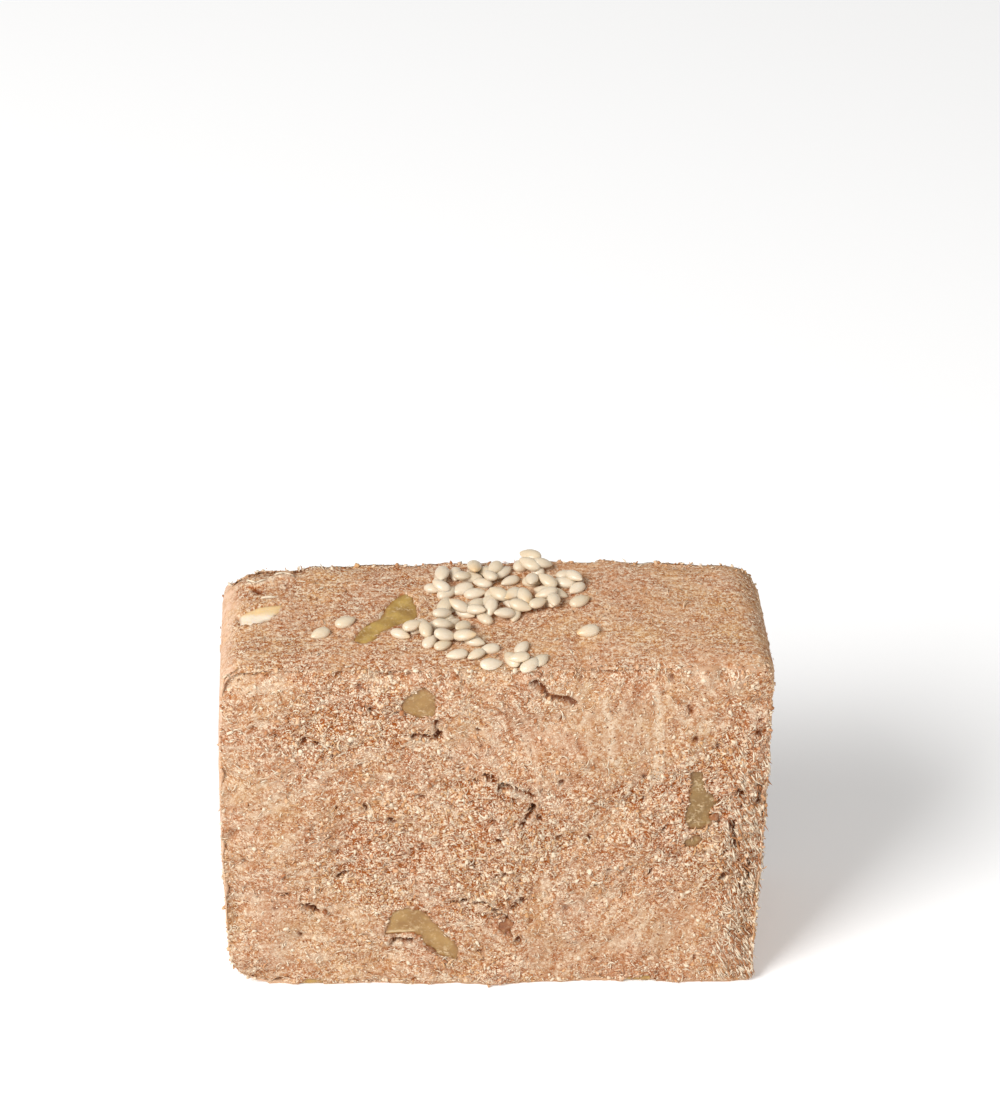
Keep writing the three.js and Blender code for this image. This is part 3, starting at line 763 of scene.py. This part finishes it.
def sprinkle(tree):
    """Each seed's place, layer, turn, tilts and size, as the solid has them. Only the lowest layer
    keeps clear of the nuts."""
    run = random_run(SPRINKLE_START)
    placed = []
    for at, reach, seeds in PATCHES:
        left = seeds
        for _ in range(SPRINKLE_TRIES):
            if not left:
                break
            away, bearing, turn = math.sqrt(next(run)), 2 * math.pi * next(run), 2 * math.pi * next(run)
            lean, roll, size = next(run) - 0.5, next(run) - 0.5, 0.9 + 0.22 * next(run)
            x = at[0] + reach[0] * away * math.cos(bearing)
            y = at[1] + reach[1] * away * math.sin(bearing)
            layer = 0
            while any(s[2] == layer and math.dist(s[:2], (x, y)) < SEED_CLEARANCE for s in placed):
                layer += 1
            if layer < SEED_LAYERS and (layer or not touches_nut(tree, x, y, turn)):
                placed.append((x, y, layer, turn, lean, roll, size))
                left -= 1
    return placed


def make_seeds(nut_tree):
    shape = seed_shape()
    top_nut = tree_of([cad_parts["walnut_top_middle"]])
    placed = sprinkle(top_nut)
    spots = np.array([(x, y, HEIGHT) for x, y, *_ in placed])
    beside = np.maximum(0, distances(nut_tree, spots, CALM + NUT_SINK) - NUT_SINK)
    ground = HEIGHT + relief(spots, np.zeros(len(spots)), beside)
    matrices = []
    for (x, y, layer, turn, lean, roll, size), floor in zip(placed, ground):
        z = floor + SEED_THICKNESS / 2 - SEED_SINK + layer * SEED_RISE
        place = Matrix.Translation((x, y, z)) @ Matrix.Rotation(turn, 4, "Z")
        place = place @ Matrix.Rotation((0.25 + 0.5 * layer) * lean, 4, "Y")
        matrices.append(place @ Matrix.Rotation(0.5 * roll, 4, "X") @ Matrix.Scale(size, 4))
    draw = np.random.default_rng(SEED_LOOKS_START)
    values = {"tint": draw.random(len(placed)), "ripe": draw.random(len(placed))}
    mesh = joined_copies("sesame_seeds", shape, np.array(matrices), values)
    along = np.tile(points_of(shape)[:, 0] / SEED_LENGTH, len(placed))
    store(mesh, tip=smoothstep(-along, 0.05, 0.5))
    smooth(mesh)
    return mesh


# ---- walnuts ----

# The ridge across the front's lower nut: its ends, and how steeply the nut falls away below it.
RIDGE = ((-15.8, 9.9), (-11.6, 10.1))
RIDGE_FALL = 0.35

FLAT = 0.6  # how square to a direction a face is before it counts as flat
NUT_VOXEL = 0.22  # spacing of the points on a nut
NUT_WAVES = ((2.2, 0.10), (0.9, 0.07), (0.45, 0.03))  # cell and height of each noise on a nut


def even_mesh(name, node):
    """A copy of a solid as an even, closed mesh with softened edges."""
    bm = bmesh.new()
    bm.from_mesh(node.data)
    bmesh.ops.remove_doubles(bm, verts=bm.verts, dist=0.001 * MM)
    mesh = bpy.data.meshes.new(name)
    bm.to_mesh(mesh)
    bm.free()
    carrier = add_object(name, mesh)
    remesh = carrier.modifiers.new("even", "REMESH")
    remesh.mode = "VOXEL"
    remesh.voxel_size = NUT_VOXEL * MM
    even = bpy.data.meshes.new_from_object(carrier.evaluated_get(bpy.context.evaluated_depsgraph_get()))
    bpy.data.objects.remove(carrier)
    bpy.data.meshes.remove(mesh)
    bm = bmesh.new()
    bm.from_mesh(even)
    axes = {"use_axis_x": True, "use_axis_y": True, "use_axis_z": True}
    for _ in range(2):
        bmesh.ops.smooth_vert(bm, verts=bm.verts, factor=0.5, **axes)
    bm.to_mesh(even)
    bm.free()
    even.name = name
    return even


def make_nut(name, node):
    """A chopped piece of walnut, with an uneven cut face."""
    facing = OUTWARDS[name.split("_")[1]]
    mesh = even_mesh(name + "_cut", node)
    p = points_of(mesh)
    out = normals_of(mesh)
    on_face = smoothstep(out @ np.array(facing), 0.5, 0.9)
    lift = sum(height * noise(p, cell) for cell, height in NUT_WAVES)
    # Painted light and shade on the lower front nut: its ridge is painted paler as a lit crest, and the
    # facet below it darker as shade.
    ridge = np.zeros(len(p))
    if name == "walnut_front_lower":
        start, end = RIDGE
        line = np.interp(p[:, 0], [start[0], end[0]], [start[1], end[1]])
        under = smoothstep(end[0] + 0.8 - p[:, 0], 0, 0.8)
        lift -= RIDGE_FALL * under * np.clip(line - p[:, 2], 0, 1) * on_face
        ridge = under * np.clip(1 - np.abs(p[:, 2] - line - 0.1) / 0.32, 0, 1)
        ridge -= under * on_face * smoothstep(line - p[:, 2], 0.1, 0.4)
    p += out * lift[:, None]
    p[:, 2] = np.maximum(p[:, 2], 0)
    move_points(mesh, p)
    smooth(mesh)
    edge = distances(tree_of([node], facing), p, 1.2)
    store(mesh, edge=1 - smoothstep(edge + 0.25 * noise(p, 0.9), 0.05, 0.7), ridge=ridge)
    return mesh


# Bits of brown walnut skin in the front cut: place, length, width, and turn in degrees.
SKIN_BITS = [
    ((31.0, 31.2), 1.7, 1.3, 20),
    ((26.0, 24.9), 1.6, 0.9, -35),
    ((-9.0, 6.7), 2.3, 0.7, -38),
    ((-7.0, 4.6), 1.7, 0.7, -50),
    ((2.6, 9.4), 1.5, 0.6, -60),
    ((-12.6, 45.3), 0.9, 0.5, 10),
    ((-24.2, 14.1), 0.8, 0.6, 0),
]
SKIN_THICKNESS = 0.7
SKIN_SINK = 0.1


def make_skin_bits():
    """Small bits of walnut skin, pressed into the front cut."""
    matrices = []
    for (x, z), length, width, turn in SKIN_BITS:
        place = Matrix.Translation((x, SKIN_SINK - DEPTH / 2, z))
        place = place @ Matrix.Rotation(-math.radians(turn), 4, "Y")
        matrices.append(place @ Matrix.Diagonal((length, SKIN_THICKNESS, width, 1)))
    no_ridge = {"ridge": np.zeros(len(matrices))}
    mesh = joined_copies("walnut_skin_bits", round_bit(3), np.array(matrices), no_ridge)
    p = points_of(mesh)
    move_points(mesh, p + 0.22 * noise_vectors(p, 0.8))
    smooth(mesh)
    store(mesh, edge=np.clip(0.4 + 0.6 * noise(p, 0.5), 0, 1))
    return mesh


# ---- materials ----


class Wiring:
    """Adds nodes to a material, and links or sets their inputs."""

    def __init__(self, name):
        self.material = bpy.data.materials.new(name)
        self.material.use_nodes = True
        self.tree = self.material.node_tree
        self.shader = self.tree.nodes["Principled BSDF"]

    def add(self, kind, inputs=None, **settings):
        made = self.tree.nodes.new("ShaderNode" + kind)
        for name, value in settings.items():
            setattr(made, name, value)
        for key, value in (inputs or {}).items():
            self.feed(made.inputs[key], value)
        return made

    def feed(self, socket, value):
        if isinstance(value, bpy.types.NodeSocket):
            self.tree.links.new(value, socket)
        else:
            socket.default_value = value

    def set(self, **inputs):
        for key, value in inputs.items():
            self.feed(self.shader.inputs[key.replace("_", " ")], value)

    def place(self):
        return self.add("TexCoord").outputs["Object"]

    def number(self, name):
        return self.add("Attribute", attribute_name=name).outputs["Fac"]

    def math(self, operation, a, b=0.0):
        return self.add("Math", {0: a, 1: b}, operation=operation).outputs[0]

    def times(self, first, *others):
        for other in others:
            first = self.math("MULTIPLY", first, other)
        return first

    def span(self, value, low, high, to_low=0.0, to_high=1.0):
        """Carries low..high to to_low..to_high, and no farther."""
        inputs = {"Value": value, 1: low, 2: high, 3: to_low, 4: to_high}
        return self.add("MapRange", inputs).outputs["Result"]

    def noise(self, place, size, **inputs):
        """Noise with patches of about that size, in millimetres."""
        return self.add("TexNoise", {"Vector": place, "Scale": 1 / (size * MM), **inputs})

    def grain(self, place, size, detail=2.0):
        return self.noise(place, size, Detail=detail, Roughness=0.55).outputs["Fac"]

    def cells(self, place, size, feature="F1"):
        inputs = {"Vector": place, "Scale": 1 / (size * MM)}
        return self.add("TexVoronoi", inputs, feature=feature)

    def cell_random(self, cells, channel):
        """A random number from 0 to 1 for each cell. Each channel has its own."""
        return self.add("SeparateColor", {0: cells.outputs["Color"]}).outputs[channel]

    def dots(self, cells, channel, rarity, low, high):
        """Dots in the middle of some cells, as rare as rarity says."""
        chosen = self.span(self.cell_random(cells, channel), rarity, rarity + 0.02)
        return self.times(self.span(cells.outputs["Distance"], low, high, 1.0, 0.0), chosen)

    def stretched(self, vector, scale):
        inputs = {"Vector": vector, "Scale": scale}
        return self.add("Mapping", inputs, vector_type="POINT").outputs["Vector"]

    def mix(self, share, first, second):
        inputs = {"Factor": share, 6: first, 7: second}
        return self.add("Mix", inputs, data_type="RGBA").outputs[2]

    def mix_places(self, share, first, second):
        inputs = {"Factor": share, 4: first, 5: second}
        return self.add("Mix", inputs, data_type="VECTOR").outputs[1]

    def warped(self, place, size, reach):
        """A place moved about by up to half of reach, in millimetres."""
        moved = self.noise(place, size, Detail=1.0).outputs["Color"]
        scaled = {0: moved, 1: (reach * MM,) * 3, 2: place}
        return self.add("VectorMath", scaled, operation="MULTIPLY_ADD").outputs[0]

    def lay(self, under, tone, *shares):
        """Lays a tone over a colour, as far as the product of its shares goes."""
        return self.mix(self.times(*shares), under, tone)

    def bump(self, height, strength, distance):
        inputs = {"Height": height, "Strength": strength, "Distance": distance * MM}
        return self.add("Bump", inputs).outputs["Normal"]


def colour(red, green, blue):
    """A colour from its usual 0 to 255 numbers."""
    def linear(value):
        value /= 255
        return value / 12.92 if value <= 0.04045 else ((value + 0.055) / 1.055) ** 2.4
    return (linear(red), linear(green), linear(blue), 1.0)


HALVA_TAN = colour(212, 166, 114)
HALVA_PINK = colour(204, 152, 113)
HALVA_CREAM = colour(230, 214, 189)
HALVA_BROWN = colour(142, 72, 22)
HALVA_DARK = colour(102, 44, 8)
HALVA_LIT_SKIN = colour(222, 188, 163)
HALVA_TAUPE = colour(134, 110, 91)
SEED_IVORY = colour(222, 207, 185)
SEED_CREAM = colour(216, 198, 170)
SEED_GOLD = colour(220, 178, 116)
SEED_CLOUD = colour(206, 187, 159)


def halva_colour(w, place):
    """The halva's mottled paste, without its flecks."""
    mottle = w.span(w.grain(place, 7.0, 3.0), 0.36, 0.64)
    return w.mix(mottle, HALVA_TAN, HALVA_PINK)


def halva_material():
    w = Wiring("crumbly_halva")
    place = w.place()
    cut, hollow, streak, around = (w.number(name) for name in ("cut", "hollow", "streak", "around"))
    on_side = w.math("SUBTRACT", 1.0, cut)
    pressed = w.span(around, -0.010, 0.015, 0.72, 0.56)
    rough = w.math("MAXIMUM", w.number("rough"), w.times(on_side, pressed))
    zones = w.span(w.grain(place, 4.5), 0.40, 0.58, 0.6, 1.0)
    zones = w.math("MAXIMUM", zones, w.span(rough, 0.55, 0.80))
    # The pale strip on the left end: partly its smoother moulded skin, partly painted light where the
    # lamp from the left falls on it.
    wavy = w.math("ADD", around, w.span(w.grain(place, 2.2, 3.0), 0.3, 0.7, -0.0015, 0.0015))
    left_end = w.times(w.span(wavy, -0.0395, -0.0355, 1.0, 0.0), on_side)
    crisp = w.times(w.span(rough, 0.2, 0.85, 0.4, 1.0), zones, w.span(left_end, 0.0, 1.0, 1.0, 0.5))
    paste = halva_colour(w, place)

    # The grain is even on the cuts, and drawn out round the loaf on the moulded faces.
    y = w.add("SeparateXYZ", {0: place}).outputs["Y"]
    wrapped = w.add("CombineXYZ", {0: around, 1: y, 2: 0.0}).outputs[0]
    grain = w.mix_places(cut, w.stretched(wrapped, (0.95, 1.0, 1.0)), place)

    # Crumbs of a fraction of a millimetre, each of its own tone, with pale shreds, and with painted
    # shade in the gaps between crumbs and in small pits.
    patchy = w.grain(place, 1.7, 3.0)
    ragged = w.warped(grain, 0.30, 0.26)
    tone = w.cell_random(w.cells(ragged, 0.36), 0)
    dust = w.cell_random(w.cells(ragged, 0.20), 1)
    clumps = w.cell_random(w.cells(ragged, 1.0), 2)
    to_gap = w.cells(ragged, 0.36, "DISTANCE_TO_EDGE").outputs["Distance"]
    broken = w.span(w.grain(grain, 0.7), 0.42, 0.50)
    shaded_gaps = w.times(w.span(to_gap, 0.05, 0.17, 1.0, 0.0), broken)
    shaded_gaps = w.math("MAXIMUM", shaded_gaps, w.span(w.grain(ragged, 0.42, 1.0), 0.35, 0.41, 1.0, 0.0))
    moved = w.add("VectorMath", {0: grain, 1: (0.31, 0.31, 0.31)}, operation="ADD").outputs[0]
    curling = w.noise(moved, 0.60, Detail=1.0, Distortion=0.9).outputs["Fac"]
    off_line = w.math("SUBTRACT", curling, 0.5)
    shreds = w.span(w.math("ABSOLUTE", off_line), 0.015, 0.06, 1.0, 0.0)
    pale = w.times(shreds, w.math("SUBTRACT", 1.0, broken))
    shaded_pocks = w.span(w.grain(ragged, 0.75, 3.0), 0.335, 0.375, 1.0, 0.0)
    shaded_pocks = w.times(shaded_pocks, w.span(rough, 0.55, 0.80))

    # Faint threads: long ones round the moulded faces, and in swirls on the cuts.
    lines = w.grain(w.stretched(wrapped, (0.10, 1.0, 1.0)), 0.45, 3.0)
    lined = w.times(w.span(w.grain(place, 9.0), 0.45, 0.60, 0.25, 1.0), on_side)
    bloom = w.span(w.grain(place, 1.5, 3.0), 0.40, 0.60, 0.25, 0.75)
    specks = w.dots(w.cells(place, 0.75), 2, 0.66, 0.13, 0.24)

    # The tones from the bottom up: each with the number that it follows, the number's span, its
    # shares at the two ends of that span, and what holds it back.
    layers = [
        (HALVA_BROWN, patchy, 0.34, 0.52, 0.16, 0.0, 1.0),
        (HALVA_CREAM, patchy, 0.50, 0.70, 0.0, 0.28, 1.0),
        (HALVA_CREAM, clumps, 0.60, 0.95, 0.0, 0.35, crisp),
        (HALVA_BROWN, clumps, 0.05, 0.30, 0.10, 0.0, crisp),
        (HALVA_TAUPE, crisp, 0.3, 1.0, 0.42, 0.0, cut),
        (HALVA_BROWN, tone, 0.08, 0.28, 0.55, 0.0, crisp),
        (HALVA_CREAM, tone, 0.55, 0.80, 0.0, 0.75, crisp),
        (HALVA_CREAM, dust, 0.68, 0.80, 0.0, 0.85, crisp),
        (HALVA_BROWN, dust, 0.12, 0.24, 0.7, 0.0, crisp),
        (HALVA_CREAM, pale, 0.0, 1.0, 0.0, 0.85, crisp),
        # Painted shade in the gaps between crumbs, and darker painted shade in small pits.
        (HALVA_BROWN, shaded_gaps, 0.0, 1.0, 0.0, 1.0, crisp),
        (HALVA_DARK, shaded_pocks, 0.0, 1.0, 0.0, 0.8, 1.0),
        (HALVA_CREAM, lines, 0.52, 0.70, 0.0, 0.40, lined),
        (HALVA_BROWN, lines, 0.30, 0.47, 0.45, 0.0, lined),
        (HALVA_CREAM, streak, 0.1, 0.9, 0.0, 0.25, cut),
        (HALVA_BROWN, streak, -0.9, -0.1, 0.25, 0.0, cut),
        (HALVA_CREAM, w.number("pale"), 0.1, 0.9, 0.0, 0.55, broken),
        # Paler on the left end: partly smoother skin, partly painted light.
        (HALVA_LIT_SKIN, left_end, 0.0, 1.0, 0.0, 1.0, bloom),
        (HALVA_DARK, left_end, 0.0, 1.0, 0.85, 0.2, specks),
        # Painted shade in the pits, grooves and creases, and painted light on the fold's crest and
        # bulges, from the hollow number.
        (HALVA_DARK, hollow, 0.10, 0.70, 0.0, 0.85, 1.0),
        (HALVA_CREAM, hollow, -0.35, -0.02, 0.35, 0.0, 1.0),
    ]
    for laid, number, *span, limit in layers:
        paste = w.lay(paste, laid, w.span(number, *span), limit)

    height = w.math("ADD", w.times(tone, 0.35), w.times(pale, 0.9))
    height = w.math("ADD", height, w.times(w.math("MAXIMUM", shaded_gaps, shaded_pocks), -0.9))
    height = w.math("ADD", height, w.times(lines, lined, 0.8))
    depth = w.times(w.span(cut, 0.0, 1.0, 0.40, 0.6), crisp)
    w.set(Base_Color=paste, Normal=w.bump(height, depth, 0.12))
    w.set(Roughness=w.span(tone, 0.0, 1.0, 0.9, 0.7), Specular_IOR_Level=0.05)
    return w.material


def flake_material():
    """The look of the loose bits, paler or browner by each one's own tint."""
    w = Wiring("halva_flake")
    place = w.place()
    tint = w.number("tint")
    paste = halva_colour(w, place)
    paste = w.lay(paste, HALVA_CREAM, w.span(tint, 0.25, 0.75, 0.1, 1.0))
    paste = w.lay(paste, HALVA_BROWN, w.span(tint, 0.0, 0.22, 0.7, 0.0))
    mottled = w.grain(place, 0.35)
    paste = w.lay(paste, HALVA_BROWN, w.span(mottled, 0.35, 0.6, 0.25, 0.0))
    w.set(Base_Color=paste, Normal=w.bump(mottled, 0.3, 0.08))
    w.set(Roughness=w.span(tint, 0.0, 1.0, 0.85, 0.6), Specular_IOR_Level=0.08)
    return w.material


def seed_material():
    w = Wiring("hulled_sesame")
    place = w.place()
    tint, tip, ripe = w.number("tint"), w.number("tip"), w.number("ripe")
    ivory = w.mix(tint, SEED_IVORY, SEED_CREAM)
    ivory = w.lay(ivory, SEED_GOLD, w.span(ripe, 0.80, 1.0, 0.08, 0.65), tip)
    cloud = w.grain(place, 0.9)
    ivory = w.lay(ivory, SEED_CLOUD, w.span(cloud, 0.4, 0.65, 0.0, 0.3))
    w.set(Base_Color=ivory, Normal=w.bump(w.grain(place, 0.3), 0.12, 0.06))
    w.set(Roughness=w.span(cloud, 0.3, 0.7, 0.24, 0.36), Specular_IOR_Level=0.45)
    w.set(Subsurface_Weight=0.5, Subsurface_Radius=(1.0, 0.9, 0.8), Subsurface_Scale=0.35 * MM)
    return w.material


def walnut_material(name):
    """Waxy nut, browner along its edge, with pale grains and scratches on its cut, pale dots painted as
    glints, and a painted highlight and painted shade about the lower front nut's ridge.
    """
    w = Wiring(name)
    flesh, shade = (colour(*tone) for tone in NUT_TONES[name])
    place = w.place()
    cloud = w.grain(place, 2.6, 3.0)
    fine = w.grain(place, 0.5, 3.0)
    share = w.span(cloud, 0.36, 0.64)
    if name == "walnut_cream":
        # The pale nut in the top is whitish in front and yellowish behind.
        y = w.add("SeparateXYZ", {0: place}).outputs["Y"]
        share = w.span(w.math("ADD", y, w.times(cloud, 2 * MM)), 1.0 * MM, 2.0 * MM)
    nut = w.mix(share, flesh, shade)
    nut = w.lay(nut, NUT_GRAIN_AND_HIGHLIGHT, w.span(fine, 0.54, 0.72, 0.0, 0.28))
    ragged = w.warped(place, 0.4, 0.3)
    dust = w.span(w.cell_random(w.cells(ragged, 0.26), 1), 0.60, 0.75)
    nut = w.lay(nut, NUT_GRAIN_AND_HIGHLIGHT, dust, w.span(w.grain(place, 2.4), 0.54, 0.66), 0.5)
    # Pale dots that stand for glints: painted highlights.
    nut = w.lay(nut, NUT_GRAIN_AND_HIGHLIGHT, w.dots(w.cells(ragged, 0.8), 1, 0.84, 0.10, 0.24), 0.6)
    # Painted highlight on the lower front nut's ridge, and painted shade on the facet below it.
    nut = w.lay(nut, NUT_GRAIN_AND_HIGHLIGHT, w.span(w.number("ridge"), 0.0, 1.0, 0.0, 0.8))
    nut = w.lay(nut, NUT_SKIN_AND_SHADE, w.span(w.number("ridge"), -1.0, 0.0, 0.75, 0.0))
    nut = w.lay(nut, NUT_SKIN_AND_SHADE, w.number("edge"), w.span(cloud, 0.35, 0.6, 0.75, 0.3))
    w.set(Base_Color=nut, Normal=w.bump(fine, 0.3, 0.12))
    w.set(Roughness=w.span(fine, 0.35, 0.7, 0.28, 0.5), Specular_IOR_Level=0.5)
    w.set(Subsurface_Weight=0.25, Subsurface_Radius=(1.0, 0.7, 0.3), Subsurface_Scale=0.8 * MM)
    return w.material


NUT_GRAIN_AND_HIGHLIGHT = colour(226, 202, 162)
NUT_SKIN_AND_SHADE = colour(132, 82, 42)

# Each kind of nut's flesh and its darker tone, and the nuts that aren't olive.
NUT_TONES = {
    "walnut_olive": ((165, 129, 74), (143, 105, 55)),
    "walnut_khaki": ((142, 109, 58), (124, 92, 45)),
    "walnut_golden": ((186, 152, 80), (150, 114, 55)),
    "walnut_cream": ((238, 220, 196), (228, 194, 142)),
    "walnut_yellow": ((204, 172, 100), (184, 150, 82)),
    "walnut_skin": ((166, 104, 54), (122, 70, 34)),
}
NUT_KINDS = {
    "walnut_front_right": "walnut_khaki",
    "walnut_front_right_chip": "walnut_khaki",
    "walnut_front_small": "walnut_skin",
    "walnut_top_middle": "walnut_golden",
    "walnut_top_left": "walnut_cream",
    "walnut_base_left": "walnut_yellow",
    "walnut_base_right": "walnut_yellow",
}


# ---- floor, light and camera ----


FLOOR_SIZE = 3000
FLOOR_WHITE = colour(244, 244, 244)
FLOOR_GLOW = 0.15
SKY_COLOUR = (1.0, 0.99, 0.975, 1.0)
SKY_STRENGTH = 0.41
LAMP_AIM = Vector((0, 0, 0.03))

# Each lamp's place and width in metres, and its power in watts.
LAMPS = {
    "key": ((-0.50, -0.44, 0.66), 0.40, 8.9),
    "fill": ((0.55, -0.60, 0.30), 0.50, 1.6),
}


def make_floor():
    bm = bmesh.new()
    bmesh.ops.create_grid(bm, x_segments=1, y_segments=1, size=FLOOR_SIZE)
    mesh = mesh_from(bm, "floor")
    w = Wiring("pale_floor")
    w.set(Base_Color=FLOOR_WHITE, Roughness=0.9, Specular_IOR_Level=0.1)
    w.set(Emission_Color=(1.0, 1.0, 1.0, 1.0), Emission_Strength=FLOOR_GLOW)
    mesh.materials.append(w.material)
    add_object("floor", mesh)


def make_light(name, place, size, power):
    """A soft square lamp."""
    lamp = bpy.data.lights.new(name, "AREA")
    lamp.shape = "SQUARE"
    lamp.size = size
    lamp.energy = power
    made = add_object(name, lamp)
    made.location = place
    made.rotation_euler = (LAMP_AIM - Vector(place)).to_track_quat("-Z", "Y").to_euler()


def make_surroundings():
    world = bpy.data.worlds.new("studio")
    world.use_nodes = True
    sky = world.node_tree.nodes["Background"]
    sky.inputs["Color"].default_value = SKY_COLOUR
    sky.inputs["Strength"].default_value = SKY_STRENGTH
    bpy.context.scene.world = world
    for name, lamp in LAMPS.items():
        make_light(name, *lamp)
    bpy.context.scene.view_settings.view_transform = "Standard"
    bpy.context.scene.view_settings.look = "None"


# The camera: its bearing and height round the slice, its roll, its distance, the point that it
# looks at, and its focal length as a share of the picture's long side.
CAMERA_BEARING = math.radians(-2.55)
CAMERA_RISE = math.radians(36.2)
CAMERA_ROLL = math.radians(1.2)
CAMERA_DISTANCE = 532.0
CAMERA_AIM = (0.48, 0.0, 69.0)
CAMERA_FOCAL = 3862 / 1100
SENSOR = 36.0


def make_camera():
    lens = bpy.data.cameras.new("camera")
    lens.sensor_width = SENSOR
    lens.lens = CAMERA_FOCAL * SENSOR
    lens.clip_start = 0.01
    camera = add_object("camera", lens)
    level = Matrix.Rotation(CAMERA_BEARING, 4, "Z")
    tilted = level @ Matrix.Rotation(math.pi / 2 - CAMERA_RISE, 4, "X")
    camera.matrix_world = tilted @ Matrix.Rotation(CAMERA_ROLL, 4, "Z")
    camera.location = (Vector(CAMERA_AIM) + tilted.col[2].xyz * CAMERA_DISTANCE) * MM
    bpy.context.scene.camera = camera


# ---- the slice ----


def build():
    nuts = nut_nodes()
    nut_tree = tree_of(nuts.values())
    mesh, facts = make_halva(nut_tree)
    piece(mesh, halva_material(), ["halva"])
    loose = flake_material()
    for make in (make_flakes, make_shreds, make_crumbs):
        piece(make(facts), loose)
    piece(make_seeds(nut_tree), seed_material())
    nut_looks = {kind: walnut_material(kind) for kind in NUT_TONES}
    for name, node in nuts.items():
        look = nut_looks[NUT_KINDS.get(name, "walnut_olive")]
        piece(make_nut(name, node), look, [name])
    piece(make_skin_bits(), nut_looks["walnut_skin"])


make_camera()
make_floor()
make_surroundings()
build()
